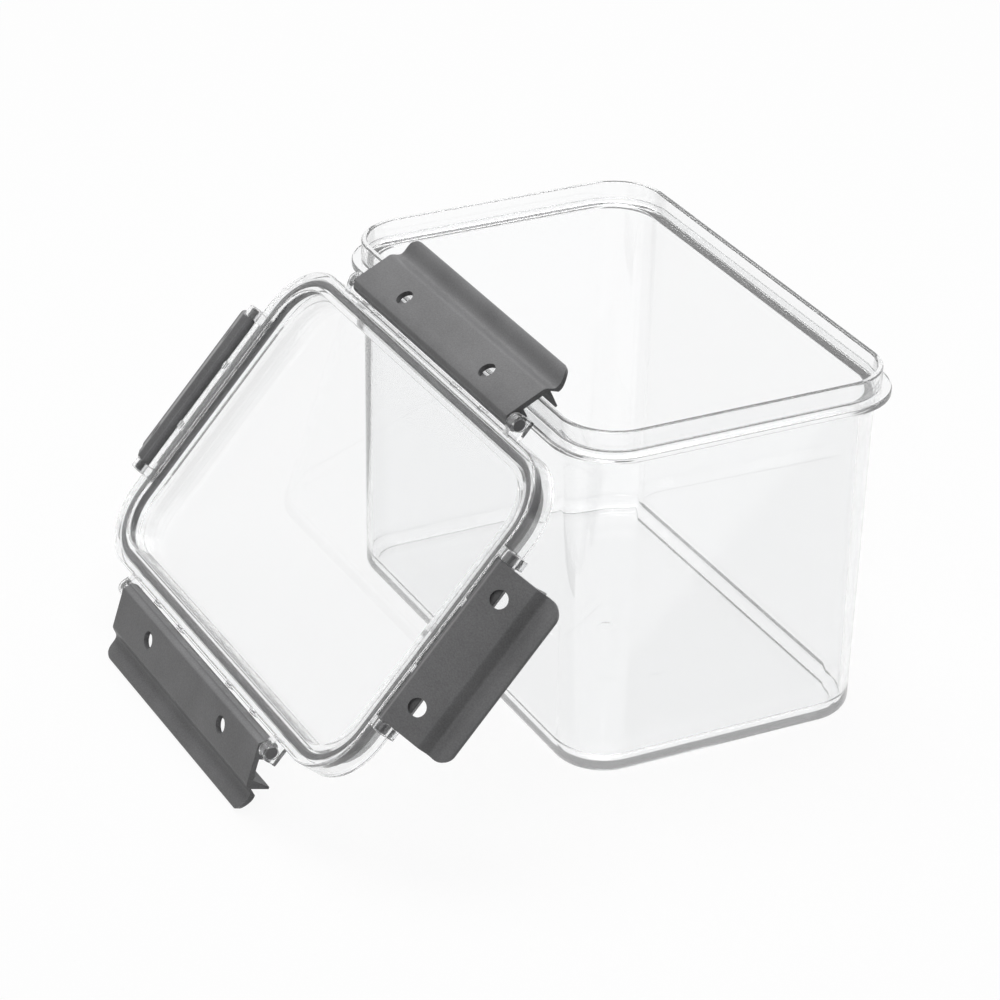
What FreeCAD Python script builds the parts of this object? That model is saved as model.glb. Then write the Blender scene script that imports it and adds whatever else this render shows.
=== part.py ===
import math
import os

import FreeCAD
import Part

V = FreeCAD.Vector
SAME_PLACE = 1e-4

# All sizes are millimetres and degrees. The frame has its origin at the middle of the
# container's underside, +Z up, the long sides along X.

# Container
RIM_LENGTH = 132.0          # outside of the collar along X
RIM_DEPTH = 85.6            # outside of the collar along Y
RIM_RADIUS = 14.0           # outside corner of the collar seen from above
HEIGHT = 94.0               # underside to the top of the collar
COLLAR_HEIGHT = 5.4         # collar above the flange
COLLAR_WALL = 1.5
COLLAR_EDGE = 0.45          # broken top edges of the collar
FLANGE_REACH = 2.4          # flange beyond the collar
FLANGE_THICKNESS = 1.8
FLANGE_EDGE = 0.45          # broken outer edges of the flange
BODY_STEP = 1.4             # body wall inside the collar's outer face
BODY_DRAFT = 0.9            # inward slope of the body wall, top to bottom, each side
BODY_WALL = 2.0
BODY_RADIUS = 14.2          # outside corner of the body just under the flange
BASE_EDGE = 3.2             # rounding of the bottom edge
FLOOR_THICKNESS = 2.2
FLOOR_EDGE = 2.8            # slanted strip inside, between floor and walls
GATE_DIAMETER = 5.0         # moulding gate mark, a shallow dimple in the floor's inside
GATE_DEPTH = 0.5
OVERCUT = 1.0               # how far a cutting block runs past the face it opens

# Lid, described lying level with the top of its rim at zero height
SKIRT_GAP = 0.5             # skirt round the collar
SKIRT_WALL = 1.8
SKIRT_DEPTH = 7.0
LID_EDGE = 0.7              # broken outer edge of the rim
LID_PLATE = 1.5             # plate over the gasket groove
PLUG_GAP = 0.3              # plug inside the collar
PLUG_WALL = 1.3
PANEL_DROP = 5.4            # recessed panel below the rim
PANEL_THICKNESS = 1.8
RECESS_DRAFT = 0.3
GASKET_HEIGHT = 2.7
GASKET_SIDE_GAP = 0.05
GASKET_SQUEEZE = 0.5        # how far the collar presses into the gasket when closed

# Hinges of the four latches
HINGE_OFFSET = 3.15         # hinge line beyond the rim's outer face
HINGE_DROP = 1.05           # hinge line below the top of the rim
BARREL_RADIUS = 2.3
PIN_RADIUS = 1.6
PIN_CLEARANCE = 0.05
LUG_GAP = 0.3               # between latch end and lug
LUG_THICKNESS = 2.7
LUG_RADIUS = 2.4
LUG_BOTTOM = 4.1            # lug's lower face below the top of the rim
LUG_ROUND = 115.0           # how far the lug's rounding runs over its top, from level
PAD_LENGTH = 2.2            # small pads on the skirt that stop an opened latch
PAD_PROUD = 0.5
PAD_HEIGHT = 2.2
PAD_ROOT = 0.6              # how far a pad runs into the skirt
PAD_FALL = 0.3              # pad's middle below the hinge line
LONG_PADS = (-0.70, -0.36, 0.36, 0.70)   # places along a long side, as parts of half the latch
SHORT_PADS = (-0.42, 0.42)

# Latches, section sizes measured from the hinge line: p away from it, q above it
LONG_LATCH = 83.0
SHORT_LATCH = 45.4
PLATE_TOP = 2.6
PLATE_THICKNESS = 1.4
LATCH_REACH = 17.95
LIP_THICKNESS = 1.2
LIP_FALL = 0.05             # lip's edge below the plate's top
GROOVE_START = 9.0
GROOVE_MIDDLE = 13.0
GROOVE_DEPTH = 0.95
GROOVE_CURVE = 0.12         # how far the groove's arcs bow, as a part of its depth
HEEL = 0.89                 # where the plate's hinge end leaves the barrel, as parts of its radius
SHOULDER = 0.35
HEEL_BULGE = 0.76
HEEL_RISE = 0.82
LATCH_CORNER = 4.0
HOOK_BITE = 0.6             # hook tip past the flange's outer edge, towards the wall
HOOK_PLAY = 0.45            # flange underside to the hook's tip when closed
HOOK_TIP = 0.6
HOOK_BACK = 0.15            # taper of the hook's outer face
HOOK_SLOPE = 1.5            # how far the hook's root lies nearer the hinge than its tip
PIN_SHORT = 0.2             # pin's end inside the lug's outer face
PIN_ROOT = 1.0              # how far a pin runs into the latch
HOLE_DIAMETER = 4.5
HOLE_REACH = 4.1
LONG_HOLE_INSET = 19.2      # hole centre from the latch's end
SHORT_HOLE_INSET = 7.2

# Resting pose: lid off, leaning against the long front side, rear latch hooked over the
# collar and front latch standing on the table
REAR_LATCH_RISE = 26.5      # rear latch's slope above level
FRONT_LATCH_DROP = 24.3     # latches turned down out of the lid's plane
LEFT_LATCH_DROP = 31.0
RIGHT_LATCH_DROP = 39.0
LID_SHIFT = 0.3             # lid off the container's middle along X
REST_GAP = 0.12             # collar's outer top corner under the rear latch's plate
HOOK_REST = 0.25            # how far the collar's broken inner corner may reach the hook's root
TABLE_GAP = 0.05            # front latch's lip above the table
LIP_FEET = ((0.0, 0.8), (0.05, 0.5), (0.3, 0.2), (0.6, 0.0))   # lip's round end, back from its tip and up
LEAN_LIMITS = (20.0, 80.0)  # leans between which the resting one is looked for
LEAN_STEPS = 60

# Sizes that follow from the ones above
RIM_X = RIM_LENGTH / 2
RIM_Y = RIM_DEPTH / 2
FLANGE_TOP = HEIGHT - COLLAR_HEIGHT
FLANGE_BOTTOM = FLANGE_TOP - FLANGE_THICKNESS
LID_GROW = SKIRT_GAP + SKIRT_WALL
PLUG_SHRINK = COLLAR_WALL + PLUG_GAP
RECESS_SHRINK = PLUG_SHRINK + PLUG_WALL
PANEL_BOTTOM = PANEL_DROP + PANEL_THICKNESS
PIVOT_X = RIM_X + LID_GROW + HINGE_OFFSET
PIVOT_Y = RIM_Y + LID_GROW + HINGE_OFFSET
UNDERSIDE = PLATE_TOP - PLATE_THICKNESS
RIM_SEAT = LID_PLATE + GASKET_HEIGHT - GASKET_SQUEEZE
CLOSED_FLANGE = RIM_SEAT + COLLAR_HEIGHT + FLANGE_THICKNESS - HINGE_DROP
HOOK_P = CLOSED_FLANGE + HOOK_PLAY
HOOK_Q = FLANGE_REACH - LID_GROW - HINGE_OFFSET - HOOK_BITE
HOOK_ROOT = HOOK_P - HOOK_SLOPE


def outline(grow, radius, z):
    """Closed rounded rectangle, the collar's outline grown by grow, at height z."""
    x = RIM_X + grow
    y = RIM_Y + grow
    r = radius
    k = r * (1 - math.sqrt(0.5))
    edges = []
    edges.append(Part.makeLine(V(-x + r, -y, z), V(x - r, -y, z)))
    edges.append(Part.Arc(V(x - r, -y, z), V(x - k, -y + k, z), V(x, -y + r, z)).toShape())
    edges.append(Part.makeLine(V(x, -y + r, z), V(x, y - r, z)))
    edges.append(Part.Arc(V(x, y - r, z), V(x - k, y - k, z), V(x - r, y, z)).toShape())
    edges.append(Part.makeLine(V(x - r, y, z), V(-x + r, y, z)))
    edges.append(Part.Arc(V(-x + r, y, z), V(-x + k, y - k, z), V(-x, y - r, z)).toShape())
    edges.append(Part.makeLine(V(-x, y - r, z), V(-x, -y + r, z)))
    edges.append(Part.Arc(V(-x, -y + r, z), V(-x + k, -y + k, z), V(-x + r, -y, z)).toShape())
    return Part.Wire(edges)


def prism(grow, z0, z1):
    """Upright block whose outline keeps an even distance from the collar's."""
    face = Part.Face(outline(grow, RIM_RADIUS + grow, z0))
    return face.extrude(V(0, 0, z1 - z0))


def tapered(grow0, z0, grow1, z1, radius):
    """Block with evenly sloping sides between two outlines; radius is the corner's at the upper one."""
    x = RIM_X + grow1 - radius
    y = RIM_Y + grow1 - radius
    low = radius - grow1 + grow0
    points = [(-low, z0), (low, z0), (radius, z1), (-radius, z1)]
    along_y = [V(math.copysign(x, a) + a, -y, b) for a, b in points]
    along_x = [V(-x, math.copysign(y, a) + a, b) for a, b in points]
    blocks = []
    blocks.append(Part.Face(Part.makePolygon(along_y + along_y[:1])).extrude(V(0, 2 * y, 0)))
    blocks.append(Part.Face(Part.makePolygon(along_x + along_x[:1])).extrude(V(2 * x, 0, 0)))
    for sx in (-1, 1):
        for sy in (-1, 1):
            blocks.append(Part.makeCone(low, radius, z1 - z0, V(sx * x, sy * y, z0)))
    return blocks[0].fuse(blocks[1:]).removeSplitter()


def edges_at(shape, z, inside=None):
    """Edges lying flat at height z, optionally only those within the collar's outline grown by inside."""
    found = []
    for edge in shape.Edges:
        box = edge.BoundBox
        if max(abs(box.ZMin - z), abs(box.ZMax - z)) > SAME_PLACE:
            continue
        if inside is not None:
            if max(abs(box.XMin), abs(box.XMax)) > inside + RIM_X:
                continue
            if max(abs(box.YMin), abs(box.YMax)) > inside + RIM_Y:
                continue
        found.append(edge)
    return found


def make_container():
    """Open box with a rounded floor, a flange for the latches and a collar for the lid."""
    body = tapered(-BODY_STEP - BODY_DRAFT, 0.0, -BODY_STEP, FLANGE_TOP, BODY_RADIUS)
    body = body.makeFillet(BASE_EDGE, edges_at(body, 0.0))
    flange = prism(FLANGE_REACH, FLANGE_BOTTOM, FLANGE_TOP)
    broken = edges_at(flange, FLANGE_BOTTOM) + edges_at(flange, FLANGE_TOP)
    flange = flange.makeChamfer(FLANGE_EDGE, broken)
    collar = prism(0.0, FLANGE_BOTTOM + FLANGE_THICKNESS / 2, HEIGHT)
    collar = collar.makeChamfer(COLLAR_EDGE, edges_at(collar, HEIGHT))
    hollow = tapered(-BODY_STEP - BODY_DRAFT - BODY_WALL, FLOOR_THICKNESS,
                     -BODY_STEP - BODY_WALL, FLANGE_TOP + OVERCUT / 2, BODY_RADIUS - BODY_WALL)
    hollow = hollow.makeChamfer(FLOOR_EDGE, edges_at(hollow, FLOOR_THICKNESS))
    mouth = prism(-COLLAR_WALL, FLANGE_TOP, HEIGHT + OVERCUT)
    gate = Part.makeCylinder(GATE_DIAMETER / 2, GATE_DEPTH, V(0, 0, FLOOR_THICKNESS - GATE_DEPTH))
    shape = body.fuse([flange, collar]).cut(hollow).cut(mouth).cut(gate)
    shape = shape.removeSplitter()
    inner_rim = edges_at(shape, HEIGHT, inside=-COLLAR_WALL + SAME_PLACE)
    return shape.makeChamfer(COLLAR_EDGE, inner_rim)


def side_turn(side):
    """Turn about the lid's upright axis that brings a part built for the rear to its side."""
    return {"rear": 0.0, "left": 90.0, "front": 180.0, "right": -90.0}[side]


def pivot_reach(side):
    """Distance of a side's hinge line from the lid's middle."""
    return PIVOT_Y if side in ("rear", "front") else PIVOT_X


def latch_length(side):
    """Length of a side's latch along its hinge line."""
    return LONG_LATCH if side in ("rear", "front") else SHORT_LATCH


def pad_places(side):
    """Where a side's pads sit along the hinge line."""
    return LONG_PADS if side in ("rear", "front") else SHORT_PADS


def make_lug(side):
    """The two lugs of one side, bored for the latch's pins, in the lid's level frame."""
    reach = pivot_reach(side)
    face_out = reach - HINGE_OFFSET
    c = V(0, reach, -HINGE_DROP)
    angles = (0.0, math.radians(LUG_ROUND / 2), math.radians(LUG_ROUND))
    side_point, over, top = [
        V(0, c.y + LUG_RADIUS * math.cos(a), c.z + LUG_RADIUS * math.sin(a)) for a in angles
    ]
    root = face_out - LID_EDGE
    edges = []
    edges.append(Part.makeLine(V(0, root, -LUG_BOTTOM), V(0, c.y + LUG_RADIUS, -LUG_BOTTOM)))
    edges.append(Part.makeLine(V(0, c.y + LUG_RADIUS, -LUG_BOTTOM), side_point))
    edges.append(Part.Arc(side_point, over, top).toShape())
    edges.append(Part.makeLine(top, V(0, root, 0)))
    edges.append(Part.makeLine(V(0, root, 0), V(0, root, -LUG_BOTTOM)))
    face = Part.Face(Part.Wire(edges))
    near = latch_length(side) / 2 + LUG_GAP
    bore_radius = PIN_RADIUS + PIN_CLEARANCE
    bore_length = LUG_THICKNESS + 2 * OVERCUT
    lugs = []
    for start in (near, -near - LUG_THICKNESS):
        lug = face.copy()
        lug.translate(V(start, 0, 0))
        lug = lug.extrude(V(LUG_THICKNESS, 0, 0))
        mouth = V(start - OVERCUT, c.y, c.z)
        bore = Part.makeCylinder(bore_radius, bore_length, mouth, V(1, 0, 0))
        lugs.append(lug.cut(bore))
    for place in pad_places(side):
        middle = place * latch_length(side) / 2
        low = -HINGE_DROP - PAD_FALL - PAD_HEIGHT / 2
        corner = V(middle - PAD_LENGTH / 2, face_out - PAD_ROOT, low)
        lugs.append(Part.makeBox(PAD_LENGTH, PAD_ROOT + PAD_PROUD, PAD_HEIGHT, corner))
    for lug in lugs:
        lug.rotate(V(0, 0, 0), V(0, 0, 1), side_turn(side))
    return lugs


def make_lid():
    """Clear lid: rim with a gasket groove, skirt, recessed panel, and lugs for the latches."""
    cap = prism(LID_GROW, -SKIRT_DEPTH, 0.0)
    cap = cap.makeChamfer(LID_EDGE, edges_at(cap, 0.0))
    under = prism(SKIRT_GAP, -SKIRT_DEPTH - OVERCUT, -LID_PLATE)
    plug = prism(-PLUG_SHRINK, -PANEL_BOTTOM, -LID_PLATE / 2)
    recess = tapered(-RECESS_SHRINK - RECESS_DRAFT, -PANEL_DROP,
                     -RECESS_SHRINK, OVERCUT, RIM_RADIUS - RECESS_SHRINK)
    pieces = [plug]
    for side in ("rear", "left", "front", "right"):
        pieces.extend(make_lug(side))
    shape = cap.cut(under).fuse(pieces).cut(recess)
    return shape.removeSplitter()


def make_gasket():
    """Soft ring in the lid's groove."""
    low = -LID_PLATE - GASKET_HEIGHT
    outer = prism(SKIRT_GAP - GASKET_SIDE_GAP, low, -LID_PLATE)
    inner = prism(-PLUG_SHRINK + GASKET_SIDE_GAP, low - OVERCUT, -LID_PLATE + OVERCUT)
    return outer.cut(inner)


def line(a, b):
    """Straight edge between two (p, q) points."""
    return Part.makeLine(V(0, a[0], a[1]), V(0, b[0], b[1]))


def arc(a, b, c):
    """Circular edge from a through b to c, all (p, q)."""
    return Part.Arc(V(0, a[0], a[1]), V(0, b[0], b[1]), V(0, c[0], c[1])).toShape()


def bow(a, c, rise):
    """Shallow circular edge from a to c whose middle lies rise above the straight line."""
    return arc(a, ((a[0] + c[0]) / 2, (a[1] + c[1]) / 2 + rise), c)


def latch_section():
    """Latch seen along its hinge line: barrel, plate, hook, finger groove and lip."""
    lip = PLATE_TOP - LIP_FALL
    end = LATCH_REACH - LIP_THICKNESS / 2
    dip = (GROOVE_MIDDLE, PLATE_TOP - GROOVE_DEPTH)
    near = (GROOVE_START + (GROOVE_MIDDLE - GROOVE_START) / 2, PLATE_TOP - GROOVE_DEPTH / 2)
    far = (GROOVE_MIDDLE + (end - GROOVE_MIDDLE) / 2, (dip[1] + lip) / 2)
    rise = GROOVE_DEPTH * GROOVE_CURVE
    back = (HOOK_P + HOOK_TIP + HOOK_BACK, UNDERSIDE - HOOK_BACK)
    under = (GROOVE_MIDDLE, dip[1] - LIP_THICKNESS)
    under_far = (far[0], far[1] - LIP_THICKNESS)
    under_end = (end, lip - LIP_THICKNESS)
    meet = math.sqrt(BARREL_RADIUS ** 2 - UNDERSIDE ** 2)
    heel = (-HEEL * BARREL_RADIUS, math.sqrt(1 - HEEL ** 2) * BARREL_RADIUS)
    shoulder = (-SHOULDER * BARREL_RADIUS, PLATE_TOP)
    edges = []
    edges.append(line(shoulder, (GROOVE_START, PLATE_TOP)))
    edges.append(bow((GROOVE_START, PLATE_TOP), near, rise))
    edges.append(bow(near, dip, -rise))
    edges.append(bow(dip, far, -rise))
    edges.append(line(far, (end, lip)))
    edges.append(arc((end, lip), (LATCH_REACH, lip - LIP_THICKNESS / 2), under_end))
    edges.append(line(under_end, under_far))
    edges.append(bow(under_far, under, -rise))
    edges.append(line(under, back))
    edges.append(line(back, (HOOK_P + HOOK_TIP, HOOK_Q)))
    edges.append(line((HOOK_P + HOOK_TIP, HOOK_Q), (HOOK_P, HOOK_Q)))
    edges.append(line((HOOK_P, HOOK_Q), (HOOK_ROOT, UNDERSIDE)))
    edges.append(line((HOOK_ROOT, UNDERSIDE), (meet, UNDERSIDE)))
    edges.append(arc((meet, UNDERSIDE), (0, -BARREL_RADIUS), heel))
    edges.append(arc(heel, (-HEEL_BULGE * BARREL_RADIUS, HEEL_RISE * PLATE_TOP), shoulder))
    return Part.Face(Part.Wire(edges))


def make_latch(side):
    """One latch with its stub pins and two holes, hinge line along X through the origin."""
    length = latch_length(side)
    flap = latch_section()
    flap.translate(V(-length / 2, 0, 0))
    flap = flap.extrude(V(length, 0, 0))
    plan = Part.makeBox(length, 2 * LATCH_REACH, 2 * LATCH_REACH, V(-length / 2, -LATCH_REACH, -LATCH_REACH))
    corners = []
    for edge in plan.Edges:
        box = edge.BoundBox
        if box.ZLength > LATCH_REACH and abs(box.YMin - LATCH_REACH) < SAME_PLACE:
            corners.append(edge)
    flap = flap.common(plan.makeFillet(LATCH_CORNER, corners))
    inset = LONG_HOLE_INSET if side in ("rear", "front") else SHORT_HOLE_INSET
    for x in (inset - length / 2, length / 2 - inset):
        hole_start = V(x, HOLE_REACH, -BARREL_RADIUS)
        hole_length = BARREL_RADIUS + PLATE_TOP + OVERCUT
        flap = flap.cut(Part.makeCylinder(HOLE_DIAMETER / 2, hole_length, hole_start))
    pin_length = PIN_ROOT + LUG_GAP + LUG_THICKNESS - PIN_SHORT
    pin_start = length / 2 - PIN_ROOT
    pins = []
    pins.append(Part.makeCylinder(PIN_RADIUS, pin_length, V(pin_start, 0, 0), V(1, 0, 0)))
    pins.append(Part.makeCylinder(PIN_RADIUS, pin_length, V(-pin_start, 0, 0), V(-1, 0, 0)))
    return flap.fuse(pins).removeSplitter()


def lip_height(lean):
    """Height of the front latch's lip above the table for a given lean of the lid."""
    y, z = lid_middle(lean)
    a = math.radians(lean)
    drop = math.radians(FRONT_LATCH_DROP)
    heights = []
    for back, above in LIP_FEET:
        p = LATCH_REACH - back
        q = UNDERSIDE + above
        out = PIVOT_Y + p * math.cos(drop) + q * math.sin(drop)
        up = -HINGE_DROP - p * math.sin(drop) + q * math.cos(drop)
        heights.append(z - out * math.sin(a) + up * math.cos(a))
    return min(heights)


def lid_middle(lean):
    """Where the middle of the rim's top lies, so the rear latch rests over the collar."""
    rise = math.radians(REAR_LATCH_RISE)
    a = math.radians(lean)
    p = HOOK_ROOT - COLLAR_WALL * math.cos(rise) + HOOK_REST
    q = UNDERSIDE - REST_GAP
    pivot_y = -RIM_Y - p * math.cos(rise) + q * math.sin(rise)
    pivot_z = HEIGHT - p * math.sin(rise) - q * math.cos(rise)
    y = pivot_y - PIVOT_Y * math.cos(a) - HINGE_DROP * math.sin(a)
    z = pivot_z - PIVOT_Y * math.sin(a) + HINGE_DROP * math.cos(a)
    return y, z


def find_lean():
    """Lean of the lid at which the front latch's lip just stands on the table."""
    low, high = LEAN_LIMITS
    for step in range(LEAN_STEPS):
        middle = (low + high) / 2
        if lip_height(middle) > TABLE_GAP:
            low = middle
        else:
            high = middle
    return (low + high) / 2


LID_LEAN = find_lean()
LID_Y, LID_Z = lid_middle(LID_LEAN)
LATCH_DROP = {"rear": LID_LEAN - REAR_LATCH_RISE, "front": FRONT_LATCH_DROP,
              "left": LEFT_LATCH_DROP, "right": RIGHT_LATCH_DROP}


def lean(shape):
    """Bring a shape from the lid's level frame to where the lid rests."""
    shape.rotate(V(0, 0, 0), V(1, 0, 0), LID_LEAN)
    shape.translate(V(LID_SHIFT, LID_Y, LID_Z))
    return shape


def place_latch(shape, side):
    """Bring a latch from its own frame to its side of the leaning lid, turned down."""
    shape.rotate(V(0, 0, 0), V(1, 0, 0), -LATCH_DROP[side])
    shape.translate(V(0, pivot_reach(side), -HINGE_DROP))
    shape.rotate(V(0, 0, 0), V(0, 0, 1), side_turn(side))
    return lean(shape)


def save(shape, name):
    """Write one piece; each has to be a single sound solid."""
    if len(shape.Solids) != 1 or not shape.isValid():
        raise ValueError(name + " is not one valid solid")
    shape.Solids[0].exportStep("parts/" + name + ".step")
    print(name, round(shape.Volume, 1), shape.BoundBox)


os.makedirs("parts", exist_ok=True)
print("lean", round(LID_LEAN, 3), "lid middle", round(LID_Y, 3), round(LID_Z, 3))
save(make_container(), "container_body")
save(lean(make_lid()), "lid")
save(lean(make_gasket()), "lid_gasket")
for side in ("rear", "front", "left", "right"):
    save(place_latch(make_latch(side), side), "latch_" + side)
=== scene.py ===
import math

import bmesh
import bpy
from mathutils import Matrix, Vector


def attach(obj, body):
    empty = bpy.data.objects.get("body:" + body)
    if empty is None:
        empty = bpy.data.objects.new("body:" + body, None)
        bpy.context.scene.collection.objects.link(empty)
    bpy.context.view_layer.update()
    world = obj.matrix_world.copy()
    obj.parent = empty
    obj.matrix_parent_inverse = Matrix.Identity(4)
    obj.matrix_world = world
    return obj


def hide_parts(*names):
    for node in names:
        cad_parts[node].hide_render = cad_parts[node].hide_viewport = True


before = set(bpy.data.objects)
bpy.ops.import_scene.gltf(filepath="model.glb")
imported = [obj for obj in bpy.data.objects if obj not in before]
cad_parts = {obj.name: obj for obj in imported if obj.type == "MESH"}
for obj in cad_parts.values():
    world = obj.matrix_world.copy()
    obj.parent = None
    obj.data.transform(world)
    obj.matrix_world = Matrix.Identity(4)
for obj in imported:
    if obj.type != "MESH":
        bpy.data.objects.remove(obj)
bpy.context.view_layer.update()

scene = bpy.context.scene
MM = 0.001

# Container sizes in millimetres, as in the frame
RIM_X = 66.0
RIM_Y = 42.8
RIM_RADIUS = 14.0
HEIGHT = 94.0
COLLAR_HEIGHT = 5.4
COLLAR_WALL = 1.5
FLANGE_REACH = 2.4
FLANGE_THICKNESS = 1.8
BODY_STEP = 1.4
BODY_DRAFT = 0.9
BODY_WALL = 2.0
BODY_RADIUS = 14.2
BASE_EDGE = 3.2
FLOOR_THICKNESS = 2.2
FLOOR_EDGE = 2.8
FLOOR_ROUND = 1.7
LEDGE_EDGE = 0.45
GATE_RADIUS = 2.5
GATE_DEPTH = 0.3
RIM_EDGE = 0.45
SAME_PLACE = 0.01

# Lid sizes, level with the top of its rim at zero height
SKIRT_GAP = 0.5
SKIRT_WALL = 1.8
SKIRT_DEPTH = 7.0
LID_EDGE = 0.7
LID_FINE_EDGE = 0.3
LID_PLATE = 1.5
PLUG_SHRINK = 1.8
PLUG_WALL = 1.3
PANEL_DROP = 5.4
PANEL_THICKNESS = 1.8
RECESS_DRAFT = 0.3

# Gasket section: half widths about its middle, and depths below the lid's plate
GASKET_MIDDLE = -0.5
GASKET_CROWN = 0.55
GASKET_HALF = 0.9
GASKET_FOOT = 0.4
GASKET_TOP = 0.05
GASKET_SHOULDER = 0.9
GASKET_WAIST = 1.7
GASKET_DEPTH = 2.7

# Hinges and latches; section sizes run p away from the hinge line and q above it
HINGE_OFFSET = 3.15
HINGE_DROP = 1.05
PIVOT_X = RIM_X + SKIRT_GAP + SKIRT_WALL + HINGE_OFFSET
PIVOT_Y = RIM_Y + SKIRT_GAP + SKIRT_WALL + HINGE_OFFSET
LUG_GAP = 0.3
LUG_THICKNESS = 2.7
LUG_RADIUS = 2.4
LUG_BOTTOM = 4.1
LUG_TOP_ANGLE = 115.0
BORE_RADIUS = 1.65
PIN_RADIUS = 1.6
PIN_REACH = 2.8
PIN_ROOT = 1.0
PAD_LENGTH = 2.2
PAD_PROUD = 0.5
PAD_HEIGHT = 2.2
PAD_ROOT = 0.6
PAD_FALL = 0.3
BARREL_RADIUS = 2.3
BARREL_END = -205.0
BARREL_SHOULDER = 0.35
LONG_LATCH = 83.0
SHORT_LATCH = 45.4
PLATE_TOP = 2.6
UNDERSIDE = 1.2
LATCH_REACH = 17.95
LIP_THICKNESS = 1.2
GROOVE_START = 9.6
GROOVE_MIDDLE = 12.7
GROOVE_END = 17.1
GROOVE_DEPTH = 1.7
LIP_FALL = 0.05
HOOK_ROOT = 8.8
HOOK_P = 10.3
HOOK_Q = -3.65
HOOK_TIP = 0.6
HOOK_BACK = 0.15
LATCH_CORNER = 4.0
WEB_REACH = 3.5
WEB_DROP = 1.7
WEB_GAP = 0.1
WEB_INSET = 0.5
HOLE_RADIUS = 2.25
HOLE_REACH = 4.1
LONG_HOLE_INSET = 19.2
SHORT_HOLE_INSET = 7.2
TOOL_REACH = 10.0

# Softened edges and how finely curves are divided
SHARP_ANGLE = 35.0
WELD = 1e-4
LUG_SOFT = 0.2
LATCH_SOFT = 0.25
GASKET_SOFT = 0.25
SOFT_STEPS = 3
CORNER_STEPS = 16
BASE_STEPS = 8
FLOOR_STEPS = 5
EDGE_STEPS = 4
GATE_STEPS = 6
LID_EDGE_STEPS = 6
LUG_SIDE_STEPS = 6
LUG_TOP_STEPS = 12
GROOVE_STEPS = 10
LIP_STEPS = 8
BARREL_STEPS = 22
SHOULDER_STEPS = 6
PLAN_STEPS = 10
PIN_STEPS = 32

# Resting place of the lid and how far each latch hangs below its plane
LID_LEAN = 49.048
LID_MIDDLE = (0.3, -81.633, 53.841)
SIDE_TURN = {"rear": 0.0, "left": 90.0, "front": 180.0, "right": -90.0}
LATCH_DROP = {"rear": 22.548, "left": 31.0, "front": 24.3, "right": 39.0}
PAD_PLACES = {"rear": (-0.70, -0.36, 0.36, 0.70), "front": (-0.70, -0.36, 0.36, 0.70),
              "left": (-0.42, 0.42), "right": (-0.42, 0.42)}

# Camera that took the photograph, fitted to the container's edges
CAMERA_PLACE = (0.78602, -0.44409, 0.51248)
CAMERA_AZIMUTH = 62.240
CAMERA_ELEVATION = 27.779
CAMERA_ROLL = 1.5285
CAMERA_LENS = 145.56
CAMERA_CLIP = 0.05
SENSOR = 36.0

# Floor, in metres; the glow is the share of the seen floor that is plain white, the rest carries the shadow
FLOOR_SIZE = 6.0
FLOOR_DROP = 0.0002
FLOOR_SHADE = 0.7
FLOOR_GLOW = 0.93
WORLD_LIGHT = 0.2

# Clear plastic
CLEAR_TINT = (0.988, 0.991, 0.993)
CLEAR_INDEX = 1.5
CLEAR_DEPTH_TINT = (0.80, 0.81, 0.82)
CLEAR_DENSITY = 11.0


def clear_plastic(name, alpha):
    """Clear polished plastic: refracts, with faint grey along long paths through it."""
    material = bpy.data.materials.new(name)
    material.use_nodes = True
    nodes = material.node_tree.nodes
    links = material.node_tree.links
    shader = nodes["Principled BSDF"]
    shader.inputs["Base Color"].default_value = (*CLEAR_TINT, 1.0)
    shader.inputs["Transmission Weight"].default_value = 1.0
    shader.inputs["IOR"].default_value = CLEAR_INDEX
    shader.inputs["Roughness"].default_value = 0.0
    shader.inputs["Alpha"].default_value = alpha
    noise = nodes.new("ShaderNodeTexNoise")
    noise.inputs["Scale"].default_value = 18.0
    noise.inputs["Detail"].default_value = 1.0
    bump = nodes.new("ShaderNodeBump")
    bump.inputs["Strength"].default_value = 0.03
    bump.inputs["Distance"].default_value = 0.0004
    coords = nodes.new("ShaderNodeTexCoord")
    links.new(coords.outputs["Object"], noise.inputs["Vector"])
    links.new(noise.outputs["Fac"], bump.inputs["Height"])
    links.new(bump.outputs["Normal"], shader.inputs["Normal"])
    volume = nodes.new("ShaderNodeVolumeAbsorption")
    volume.inputs["Color"].default_value = (*CLEAR_DEPTH_TINT, 1.0)
    volume.inputs["Density"].default_value = CLEAR_DENSITY
    links.new(volume.outputs["Volume"], nodes["Material Output"].inputs["Volume"])
    return material


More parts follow.
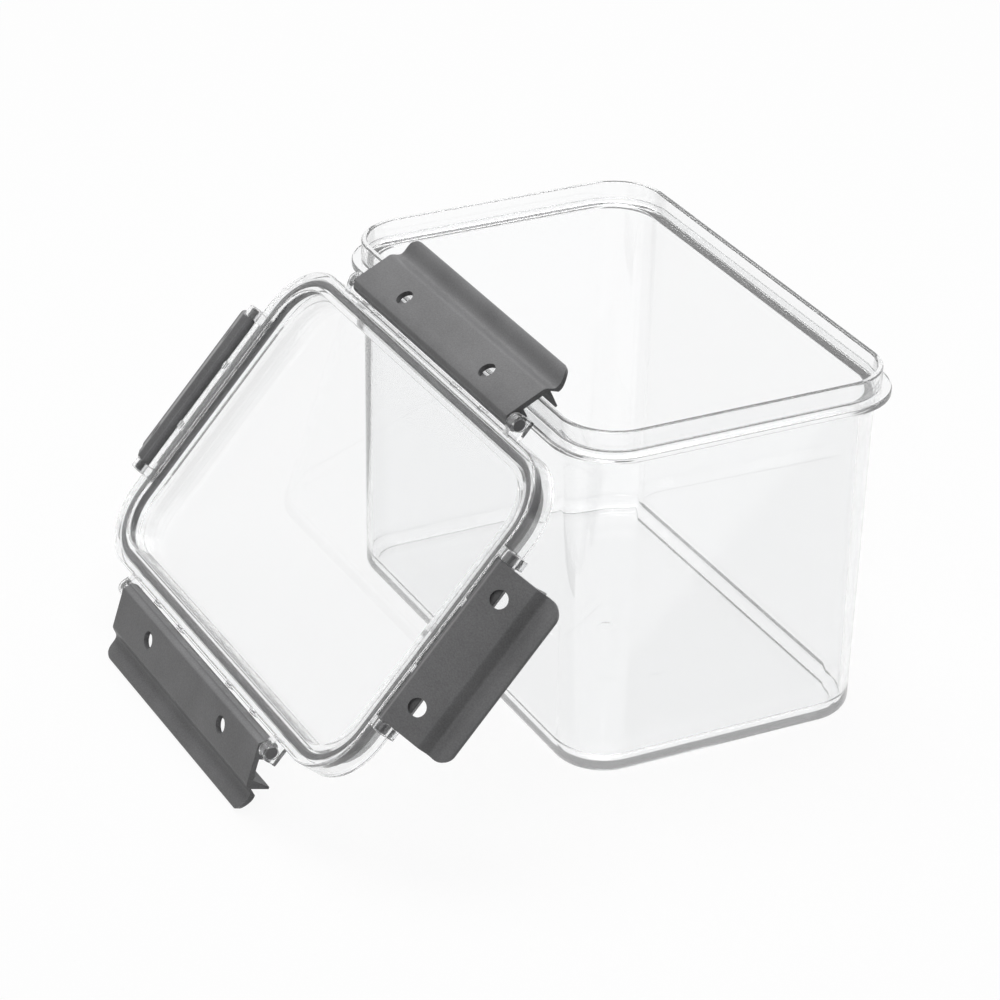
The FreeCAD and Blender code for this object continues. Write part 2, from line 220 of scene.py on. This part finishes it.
def grained_plastic(name, dark, light, roughness):
    """Opaque matt moulding with a fine spark-eroded grain."""
    material = bpy.data.materials.new(name)
    material.use_nodes = True
    nodes = material.node_tree.nodes
    links = material.node_tree.links
    shader = nodes["Principled BSDF"]
    coords = nodes.new("ShaderNodeTexCoord")
    grain = nodes.new("ShaderNodeTexNoise")
    grain.inputs["Scale"].default_value = 2600.0
    grain.inputs["Detail"].default_value = 3.0
    cloud = nodes.new("ShaderNodeTexNoise")
    cloud.inputs["Scale"].default_value = 60.0
    cloud.inputs["Detail"].default_value = 4.0
    ramp = nodes.new("ShaderNodeValToRGB")
    ramp.color_ramp.elements[0].position = 0.3
    ramp.color_ramp.elements[0].color = (*dark, 1.0)
    ramp.color_ramp.elements[1].position = 0.7
    ramp.color_ramp.elements[1].color = (*light, 1.0)
    bump = nodes.new("ShaderNodeBump")
    bump.inputs["Strength"].default_value = 0.5
    bump.inputs["Distance"].default_value = 0.0001
    links.new(coords.outputs["Object"], grain.inputs["Vector"])
    links.new(coords.outputs["Object"], cloud.inputs["Vector"])
    mottle = nodes.new("ShaderNodeMix")
    mottle.inputs["Factor"].default_value = 0.55
    links.new(cloud.outputs["Fac"], mottle.inputs["A"])
    links.new(grain.outputs["Fac"], mottle.inputs["B"])
    links.new(mottle.outputs["Result"], ramp.inputs["Fac"])
    links.new(ramp.outputs["Color"], shader.inputs["Base Color"])
    links.new(grain.outputs["Fac"], bump.inputs["Height"])
    links.new(bump.outputs["Normal"], shader.inputs["Normal"])
    shader.inputs["Roughness"].default_value = roughness
    shader.inputs["Specular IOR Level"].default_value = 0.3
    return material


def outline(grow, radius):
    """Points of a rounded rectangle round the collar's outline grown by grow, millimetres."""
    x = RIM_X + grow - radius
    y = RIM_Y + grow - radius
    points = []
    for quarter, (cx, cy) in enumerate(((x, y), (-x, y), (-x, -y), (x, -y))):
        for step in range(CORNER_STEPS + 1):
            angle = math.pi / 2 * (quarter + step / CORNER_STEPS)
            points.append((cx + radius * math.cos(angle), cy + radius * math.sin(angle)))
    return points


def bend(centre, radius, start, end, steps):
    """Points (grow, z) along an arc of the section, angles in degrees."""
    points = []
    for step in range(steps + 1):
        angle = math.radians(start + (end - start) * step / steps)
        points.append((centre[0] + radius * math.cos(angle), centre[1] + radius * math.sin(angle)))
    return points


def new_piece(name, mesh, place, material):
    """Object from a bmesh built in millimetres, moved to its place and smoothed over gentle angles."""
    bmesh.ops.remove_doubles(mesh, verts=mesh.verts, dist=WELD)
    bmesh.ops.recalc_face_normals(mesh, faces=mesh.faces)
    data = bpy.data.meshes.new(name)
    mesh.to_mesh(data)
    mesh.free()
    data.transform(Matrix.Scale(MM, 4) @ place)
    piece = bpy.data.objects.new(name, data)
    bpy.context.collection.objects.link(piece)
    smooth(piece)
    data.materials.append(material)
    return piece


def smooth(piece):
    """Smooth shading, with edges kept sharp where faces meet at more than a gentle angle."""
    for polygon in piece.data.polygons:
        polygon.use_smooth = True
    piece.data.set_sharp_from_angle(angle=math.radians(SHARP_ANGLE))


def soften(piece, width):
    """Rounded edges, width in millimetres."""
    bevel = piece.modifiers.new("soft_edges", "BEVEL")
    bevel.width = width * MM
    bevel.segments = SOFT_STEPS
    bevel.limit_method = "ANGLE"
    bevel.angle_limit = math.radians(SHARP_ANGLE)
    bevel.harden_normals = True


def keep_flats(piece):
    """Large flat faces keep their own normals, so that only the narrow curved ones shade as curved."""
    weighted = piece.modifiers.new("flat_faces", "WEIGHTED_NORMAL")
    weighted.keep_sharp = True


def swept(section, corner):
    """Mesh whose section (grow, z) runs round the outline, closed by flat caps at both ends."""
    mesh = bmesh.new()
    rings = []
    for grow, z in section:
        rings.append([mesh.verts.new((x, y, z)) for x, y in outline(grow, corner(grow, z))])
    count = len(rings[0])
    for low, high in zip(rings, rings[1:]):
        for i in range(count):
            j = (i + 1) % count
            mesh.faces.new((low[i], low[j], high[j], high[i]))
    mesh.faces.new(list(reversed(rings[0])))
    mesh.faces.new(rings[-1])
    return mesh


def extruded(mesh, loop, start, end):
    """Add a prism along X whose section is a closed loop of (y, z) points."""
    low = [mesh.verts.new((start, y, z)) for y, z in loop]
    high = [mesh.verts.new((end, y, z)) for y, z in loop]
    for i in range(len(loop)):
        j = (i + 1) % len(loop)
        mesh.faces.new((low[i], low[j], high[j], high[i]))
    mesh.faces.new(list(reversed(low)))
    mesh.faces.new(high)


def container_section():
    """Section of the container from the middle of the underside, up, over the rim and down to the floor."""
    flange_top = HEIGHT - COLLAR_HEIGHT
    flange_low = flange_top - FLANGE_THICKNESS
    draft = BODY_DRAFT / flange_top
    base = -BODY_STEP - BODY_DRAFT
    edge = RIM_EDGE
    slope = math.degrees(math.atan(draft))
    section = bend((base + draft * BASE_EDGE - BASE_EDGE, BASE_EDGE), BASE_EDGE, -90, -slope, BASE_STEPS)
    section.append((-BODY_STEP - draft * FLANGE_THICKNESS, flange_low))
    section += bend((FLANGE_REACH - edge, flange_low + edge), edge, -90, 0, EDGE_STEPS)
    section += bend((FLANGE_REACH - edge, flange_top - edge), edge, 0, 90, EDGE_STEPS)
    section.append((0.0, flange_top))
    section += bend((-edge, HEIGHT - edge), edge, 0, 90, EDGE_STEPS)
    section += bend((-COLLAR_WALL + edge, HEIGHT - edge), edge, 90, 180, EDGE_STEPS)
    collar_foot = (-COLLAR_WALL - LEDGE_EDGE, flange_top + LEDGE_EDGE)
    wall_head = (-BODY_STEP - BODY_WALL + LEDGE_EDGE, flange_top - 2 * LEDGE_EDGE)
    section += bend(collar_foot, LEDGE_EDGE, 0, -60, EDGE_STEPS)
    section += bend(wall_head, LEDGE_EDGE, 120, 180, EDGE_STEPS)
    inner = base - BODY_WALL + draft * FLOOR_THICKNESS
    reach = FLOOR_EDGE + FLOOR_ROUND * math.tan(math.radians(22.5))
    section += bend((inner - FLOOR_ROUND, FLOOR_THICKNESS + reach), FLOOR_ROUND, 0, -45, FLOOR_STEPS)
    section += bend((inner - reach, FLOOR_THICKNESS + FLOOR_ROUND), FLOOR_ROUND, -45, -90, FLOOR_STEPS)
    return section


def container_corner(grow, z):
    """Corner radius of the container's outline at a point of its section."""
    flange_low = HEIGHT - COLLAR_HEIGHT - FLANGE_THICKNESS
    if z < flange_low or grow < -BODY_STEP - BODY_WALL + SAME_PLACE:
        return BODY_RADIUS + BODY_STEP + grow
    return RIM_RADIUS + grow


def sink_gate(mesh):
    """Replace the floor's flat inside by one with the round dimple of the moulding gate at its middle."""
    floor = max(mesh.faces, key=lambda face: (len(face.verts), face.calc_center_median().z))
    rings = [sorted(floor.verts, key=lambda vertex: math.atan2(vertex.co.y, vertex.co.x))]
    count = len(rings[0])
    for step in range(GATE_STEPS):
        turn = math.pi / 2 * step / GATE_STEPS
        radius = GATE_RADIUS * math.cos(turn)
        z = FLOOR_THICKNESS - GATE_DEPTH * math.sin(turn) ** 2
        ring = []
        for i in range(count):
            angle = math.tau * (i + 0.5) / count - math.pi
            ring.append(mesh.verts.new((radius * math.cos(angle), radius * math.sin(angle), z)))
        rings.append(ring)
    mesh.faces.remove(floor)
    for outer, inner in zip(rings, rings[1:]):
        for i in range(count):
            j = (i + 1) % count
            mesh.faces.new((outer[i], outer[j], inner[j], inner[i]))
    mesh.faces.new(rings[-1])


def build_container(material, underside):
    """The clear box, smooth where the frame's node is faceted, with its underside in a finish of its own."""
    mesh = swept(container_section(), container_corner)
    sink_gate(mesh)
    piece = new_piece("container_shell", mesh, Matrix.Identity(4), material)
    keep_flats(piece)
    piece.data.materials.append(underside)
    for polygon in piece.data.polygons:
        if max(piece.data.vertices[i].co.z for i in polygon.vertices) < SAME_PLACE * MM:
            polygon.material_index = 1
    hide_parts("container_body")
    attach(piece, "container")


def leaning():
    """From the lid's level frame to where it rests, in millimetres."""
    return Matrix.Translation(LID_MIDDLE) @ Matrix.Rotation(math.radians(LID_LEAN), 4, "X")


def facing(side):
    """From a part built for the rear of the level lid to its own side of the resting lid."""
    return leaning() @ Matrix.Rotation(math.radians(SIDE_TURN[side]), 4, "Z")


def is_long(side):
    """Whether a side is one of the two long ones."""
    return side in ("rear", "front")


def half_latch(side):
    """Half of a side's latch along its hinge line."""
    return (LONG_LATCH if is_long(side) else SHORT_LATCH) / 2


def hinge_reach(side):
    """Distance of a side's hinge line from the lid's middle."""
    return PIVOT_Y if is_long(side) else PIVOT_X


def lid_section():
    """Section of the lid from the middle of its underside round the skirt to the middle of its panel."""
    edge = LID_FINE_EDGE
    plug = -PLUG_SHRINK
    recess = plug - PLUG_WALL
    grip = SKIRT_GAP
    outside = SKIRT_GAP + SKIRT_WALL
    low = -PANEL_DROP - PANEL_THICKNESS
    section = bend((plug - edge, low + edge), edge, -90, 0, EDGE_STEPS)
    section += [(plug, -LID_PLATE), (grip, -LID_PLATE)]
    section += bend((grip + edge, -SKIRT_DEPTH + edge), edge, 180, 270, EDGE_STEPS)
    section += bend((outside - edge, -SKIRT_DEPTH + edge), edge, -90, 0, EDGE_STEPS)
    section += bend((outside - LID_EDGE, -LID_EDGE), LID_EDGE, 0, 90, LID_EDGE_STEPS)
    section += bend((recess + edge, -edge), edge, 90, 180, EDGE_STEPS)
    section += bend((recess - RECESS_DRAFT - edge, -PANEL_DROP + edge), edge, 0, -90, EDGE_STEPS)
    return section


def lid_corner(grow, z):
    """Corner radius of the lid's outline at a point of its section."""
    return RIM_RADIUS + grow


def lug_loop():
    """Outside of a lug about its hinge line, closed, as (y, z) points."""
    root = -HINGE_OFFSET - LID_EDGE
    low = HINGE_DROP - LUG_BOTTOM
    corners = [(root, HINGE_DROP), (root, low), (LUG_RADIUS, low), (LUG_RADIUS, 0.0)]
    loop = []
    for a, b in zip(corners, corners[1:]):
        for step in range(LUG_SIDE_STEPS):
            part = step / LUG_SIDE_STEPS
            loop.append((a[0] + (b[0] - a[0]) * part, a[1] + (b[1] - a[1]) * part))
    loop += bend((0.0, 0.0), LUG_RADIUS, 0, LUG_TOP_ANGLE, LUG_TOP_STEPS)
    return loop


def add_lug(mesh, start, end, y, z):
    """Add one bored lug between two places along the hinge line."""
    rings = []
    for x in (start, end):
        outer = []
        inner = []
        for a, b in lug_loop():
            size = math.hypot(a, b)
            outer.append(mesh.verts.new((x, y + a, z + b)))
            inner.append(mesh.verts.new((x, y + a * BORE_RADIUS / size, z + b * BORE_RADIUS / size)))
        rings.append((outer, inner))
    count = len(rings[0][0])
    for i in range(count):
        j = (i + 1) % count
        for part in (0, 1):
            mesh.faces.new((rings[0][part][i], rings[0][part][j], rings[1][part][j], rings[1][part][i]))
        for outer, inner in rings:
            mesh.faces.new((outer[i], outer[j], inner[j], inner[i]))


def build_lid(material):
    """Clear lid with its lugs and stop pads, smooth where the frame's node is faceted."""
    pieces = [new_piece("lid_shell", swept(lid_section(), lid_corner), leaning(), material)]
    keep_flats(pieces[0])
    for side in SIDE_TURN:
        mesh = bmesh.new()
        reach = hinge_reach(side)
        half = half_latch(side)
        for start in (half + LUG_GAP, -half - LUG_GAP - LUG_THICKNESS):
            add_lug(mesh, start, start + LUG_THICKNESS, reach, -HINGE_DROP)
        face = reach - HINGE_OFFSET
        for place in PAD_PLACES[side]:
            low = -HINGE_DROP - PAD_HEIGHT / 2 - PAD_FALL
            loop = [(face - PAD_ROOT, low), (face + PAD_PROUD, low),
                    (face + PAD_PROUD, low + PAD_HEIGHT), (face - PAD_ROOT, low + PAD_HEIGHT)]
            extruded(mesh, loop, place * half - PAD_LENGTH / 2, place * half + PAD_LENGTH / 2)
        piece = new_piece("lugs_" + side, mesh, facing(side), material)
        soften(piece, LUG_SOFT)
        pieces.append(piece)
    for piece in pieces:
        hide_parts("lid")
        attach(piece, "lid")


def gasket_section():
    """Section of the gasket below the lid's plate, narrower at its crown and foot than between them."""
    right = [(GASKET_CROWN, GASKET_TOP), (GASKET_HALF, GASKET_SHOULDER),
             (GASKET_HALF, GASKET_WAIST), (GASKET_FOOT, GASKET_DEPTH)]
    left = [(-half, depth) for half, depth in reversed(right)]
    loop = left[-1:] + right + left[:-1]
    return [(GASKET_MIDDLE + half, -LID_PLATE - depth) for half, depth in loop]


def build_gasket(material):
    """Soft ring in the lid's groove, its section closed on itself round the outline."""
    mesh = bmesh.new()
    rings = []
    for grow, z in gasket_section():
        rings.append([mesh.verts.new((x, y, z)) for x, y in outline(grow, RIM_RADIUS + grow)])
    count = len(rings[0])
    for low, high in zip(rings, rings[1:] + rings[:1]):
        for i in range(count):
            j = (i + 1) % count
            mesh.faces.new((low[i], low[j], high[j], high[i]))
    piece = new_piece("gasket_ring", mesh, leaning(), material)
    soften(piece, GASKET_SOFT)
    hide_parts("lid_gasket")
    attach(piece, "lid")


def wave(start, end, steps):
    """Points of a smooth step from one (p, q) point to another, without its first point."""
    points = []
    for step in range(1, steps + 1):
        part = step / steps
        blend = (1 - math.cos(math.pi * part)) / 2
        points.append((start[0] + (end[0] - start[0]) * part, start[1] + (end[1] - start[1]) * blend))
    return points


def latch_loop():
    """Section of a latch: plate, finger groove, lip, hook and barrel."""
    round_lip = LIP_THICKNESS / 2
    middle = (GROOVE_MIDDLE, PLATE_TOP - GROOVE_DEPTH)
    under = (GROOVE_MIDDLE, UNDERSIDE - GROOVE_DEPTH)
    meet = math.degrees(math.asin(UNDERSIDE / BARREL_RADIUS))
    loop = [(GROOVE_START, PLATE_TOP)]
    loop += wave(loop[-1], middle, GROOVE_STEPS)
    loop += wave(middle, (GROOVE_END, PLATE_TOP - LIP_FALL), LIP_STEPS)
    lip = (LATCH_REACH - round_lip, PLATE_TOP - LIP_FALL - round_lip)
    loop += bend(lip, round_lip, 90, -90, LIP_STEPS)
    loop += wave(loop[-1], under, GROOVE_STEPS)
    loop += [(HOOK_P + HOOK_TIP + HOOK_BACK, UNDERSIDE - HOOK_BACK), (HOOK_P + HOOK_TIP, HOOK_Q),
             (HOOK_P, HOOK_Q), (HOOK_ROOT, UNDERSIDE)]
    loop += bend((0.0, 0.0), BARREL_RADIUS, meet, BARREL_END, BARREL_STEPS)
    loop += wave(loop[-1], (-BARREL_SHOULDER * BARREL_RADIUS, PLATE_TOP), SHOULDER_STEPS)
    return loop


def cut(piece, tool, operation):
    """Combine a piece with a tool shape and drop the tool."""
    step = piece.modifiers.new("cut", "BOOLEAN")
    step.operation = operation
    step.solver = "EXACT"
    step.object = tool
    bpy.context.view_layer.update()
    shaped = piece.evaluated_get(bpy.context.evaluated_depsgraph_get())
    result = bpy.data.meshes.new_from_object(shaped)
    piece.modifiers.clear()
    piece.data = result
    bpy.data.objects.remove(tool)


def corner_plan(half):
    """Upright block with a latch's plan, its two free corners rounded."""
    mesh = bmesh.new()
    x = half - LATCH_CORNER
    y = LATCH_REACH - LATCH_CORNER
    loop = [(half, -TOOL_REACH)]
    loop += bend((x, y), LATCH_CORNER, 0, 90, PLAN_STEPS)
    loop += bend((-x, y), LATCH_CORNER, 90, 180, PLAN_STEPS)
    loop.append((-half, -TOOL_REACH))
    low = [mesh.verts.new((a, b, -TOOL_REACH)) for a, b in loop]
    high = [mesh.verts.new((a, b, TOOL_REACH)) for a, b in loop]
    for i in range(len(loop)):
        j = (i + 1) % len(loop)
        mesh.faces.new((low[i], low[j], high[j], high[i]))
    mesh.faces.new(list(reversed(low)))
    mesh.faces.new(high)
    return mesh


def add_cylinder(mesh, radius, length, place):
    """Add a capped cylinder whose axis is Z before it is placed."""
    bmesh.ops.create_cone(mesh, cap_ends=True, segments=PIN_STEPS, radius1=radius, radius2=radius,
                          depth=length, matrix=place)


def upright_pin(radius, x, y):
    """Upright round block for a hole."""
    mesh = bmesh.new()
    add_cylinder(mesh, radius, 2 * TOOL_REACH, Matrix.Translation((x, y, 0)))
    return mesh


def build_latch(side, material):
    """One grey latch with its holes and softened edges, and its web and pins as a second piece."""
    half = half_latch(side)
    turn = Matrix.Rotation(math.radians(-LATCH_DROP[side]), 4, "X")
    place = facing(side) @ Matrix.Translation((0, hinge_reach(side), -HINGE_DROP)) @ turn
    mesh = bmesh.new()
    extruded(mesh, latch_loop(), -half, half)
    piece = new_piece("flap_" + side, mesh, place, material)
    cut(piece, new_piece("plan", corner_plan(half), place, material), "INTERSECT")
    inset = LONG_HOLE_INSET if is_long(side) else SHORT_HOLE_INSET
    for x in (inset - half, half - inset):
        hole = upright_pin(HOLE_RADIUS, x, HOLE_REACH)
        cut(piece, new_piece("hole", hole, place, material), "DIFFERENCE")
    smooth(piece)
    soften(piece, LATCH_SOFT)
    pins = bmesh.new()
    web_top = UNDERSIDE - WEB_GAP
    web = [(0.0, -WEB_DROP), (WEB_REACH, -WEB_DROP), (WEB_REACH, web_top), (0.0, web_top)]
    extruded(pins, web, -half + WEB_INSET, half - WEB_INSET)
    for end in (-1, 1):
        middle = end * (half + (PIN_REACH - PIN_ROOT) / 2)
        along = Matrix.Translation((middle, 0, 0)) @ Matrix.Rotation(math.pi / 2, 4, "Y")
        add_cylinder(pins, PIN_RADIUS, PIN_REACH + PIN_ROOT, along)
    pin_piece = new_piece("pins_" + side, pins, place, material)
    soften(pin_piece, LATCH_SOFT)
    for part in (piece, pin_piece):
        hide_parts("latch_" + side)
        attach(part, "latch_" + side)


def see_through_factor(nodes, links):
    """1 for rays from the camera, a reflection or a refraction, 0 for light on other surfaces."""
    path = nodes.new("ShaderNodeLightPath")
    first = nodes.new("ShaderNodeMath")
    first.operation = "MAXIMUM"
    second = nodes.new("ShaderNodeMath")
    second.operation = "MAXIMUM"
    links.new(path.outputs["Is Camera Ray"], first.inputs[0])
    links.new(path.outputs["Is Glossy Ray"], first.inputs[1])
    links.new(first.outputs["Value"], second.inputs[0])
    links.new(path.outputs["Is Transmission Ray"], second.inputs[1])
    return second.outputs["Value"]


def build_stage():
    """Pale floor that shows nearly white and carries the object's shadow."""
    bpy.ops.mesh.primitive_plane_add(size=FLOOR_SIZE, location=(0, 0, -FLOOR_DROP))
    floor = bpy.context.object
    floor.name = "floor"
    material = bpy.data.materials.new("pale_floor")
    material.use_nodes = True
    nodes = material.node_tree.nodes
    links = material.node_tree.links
    shader = nodes["Principled BSDF"]
    shader.inputs["Base Color"].default_value = (FLOOR_SHADE, FLOOR_SHADE, FLOOR_SHADE, 1.0)
    shader.inputs["Roughness"].default_value = 0.9
    white = nodes.new("ShaderNodeEmission")
    white.inputs["Color"].default_value = (1, 1, 1, 1)
    white.inputs["Strength"].default_value = 1.0
    mix = nodes.new("ShaderNodeMixShader")
    share = nodes.new("ShaderNodeMath")
    share.operation = "MULTIPLY"
    share.inputs[1].default_value = FLOOR_GLOW
    links.new(see_through_factor(nodes, links), share.inputs[0])
    links.new(share.outputs["Value"], mix.inputs["Fac"])
    links.new(shader.outputs["BSDF"], mix.inputs[1])
    links.new(white.outputs["Emission"], mix.inputs[2])
    links.new(mix.outputs["Shader"], nodes["Material Output"].inputs["Surface"])
    floor.data.materials.append(material)


def build_world():
    """White surroundings for what is seen, softer light for what is lit."""
    world = bpy.data.worlds.new("studio")
    scene.world = world
    world.use_nodes = True
    nodes = world.node_tree.nodes
    links = world.node_tree.links
    light = nodes["Background"]
    light.inputs["Color"].default_value = (1, 1, 1, 1)
    light.inputs["Strength"].default_value = WORLD_LIGHT
    seen = nodes.new("ShaderNodeBackground")
    seen.inputs["Color"].default_value = (1, 1, 1, 1)
    seen.inputs["Strength"].default_value = 1.0
    mix = nodes.new("ShaderNodeMixShader")
    links.new(see_through_factor(nodes, links), mix.inputs["Fac"])
    links.new(light.outputs["Background"], mix.inputs[1])
    links.new(seen.outputs["Background"], mix.inputs[2])
    links.new(mix.outputs["Shader"], nodes["World Output"].inputs["Surface"])


def area_light(name, place, aim, size, watts):
    """Soft rectangular lamp."""
    data = bpy.data.lights.new(name, "AREA")
    data.shape = "RECTANGLE"
    data.size = size[0]
    data.size_y = size[1]
    data.energy = watts
    lamp = bpy.data.objects.new(name, data)
    lamp.location = place
    lamp.rotation_euler = (Vector(aim) - Vector(place)).to_track_quat("-Z", "Y").to_euler()
    bpy.context.collection.objects.link(lamp)


def dark_card(name, place, size, shade):
    """Upright grey card, unseen by the camera, for the object's shiny sides to mirror and refract."""
    bpy.ops.mesh.primitive_plane_add(size=1.0, location=place)
    card = bpy.context.object
    card.name = name
    card.scale = (size[0], size[1], 1.0)
    toward = Vector((-place[0], -place[1], 0.0))
    card.rotation_euler = toward.to_track_quat("Z", "Y").to_euler()
    material = bpy.data.materials.new(name)
    material.use_nodes = True
    nodes = material.node_tree.nodes
    grey = nodes.new("ShaderNodeEmission")
    grey.inputs["Color"].default_value = (shade, shade, shade, 1)
    material.node_tree.links.new(grey.outputs["Emission"], nodes["Material Output"].inputs["Surface"])
    card.data.materials.append(material)
    card.visible_camera = False
    card.visible_shadow = False


def build_camera():
    """Camera at the photograph's place, with its slight roll."""
    azimuth = math.radians(CAMERA_AZIMUTH)
    elevation = math.radians(CAMERA_ELEVATION)
    roll = math.radians(CAMERA_ROLL)
    level = math.cos(elevation)
    back = Vector((math.sin(azimuth) * level, -math.cos(azimuth) * level, math.sin(elevation)))
    right = Vector((math.cos(azimuth), math.sin(azimuth), 0))
    up = back.cross(right)
    right_rolled = right * math.cos(roll) + up * math.sin(roll)
    up_rolled = up * math.cos(roll) - right * math.sin(roll)
    data = bpy.data.cameras.new("camera")
    data.lens = CAMERA_LENS
    data.sensor_width = SENSOR
    data.clip_start = CAMERA_CLIP
    camera = bpy.data.objects.new("camera", data)
    turn = Matrix((right_rolled, up_rolled, back)).transposed().to_4x4()
    camera.matrix_world = Matrix.Translation(CAMERA_PLACE) @ turn
    bpy.context.collection.objects.link(camera)
    scene.camera = camera


clear_box = clear_plastic("clear_container", 0.95)
clear_top = clear_plastic("clear_lid", 0.94)
clear_base = clear_plastic("clear_underside", 0.87)
latch_grey = grained_plastic("latch_grey", (0.105, 0.105, 0.107), (0.18, 0.18, 0.183), 0.42)
gasket_grey = grained_plastic("gasket_grey", (0.11, 0.11, 0.113), (0.15, 0.15, 0.153), 0.6)
build_container(clear_box, clear_base)
build_lid(clear_top)
build_gasket(gasket_grey)
for side in SIDE_TURN:
    build_latch(side, latch_grey)
build_stage()
build_world()
area_light("key", (-0.25, 0.1, 1.2), (0, -0.05, 0.05), (0.9, 0.9), 15.0)
area_light("fill", (0.6, -0.6, 0.95), (0, -0.08, 0.05), (0.5, 0.5), 3.0)
dark_card("card_right", (0.25, 0.75, 0.3), (0.9, 0.7), 0.25)
dark_card("card_front", (1.05, -0.2, 0.25), (1.4, 0.8), 0.02)
dark_card("card_low", (-0.1, -0.95, 0.25), (1.0, 0.7), 0.1)
build_camera()
scene.view_settings.view_transform = "Standard"
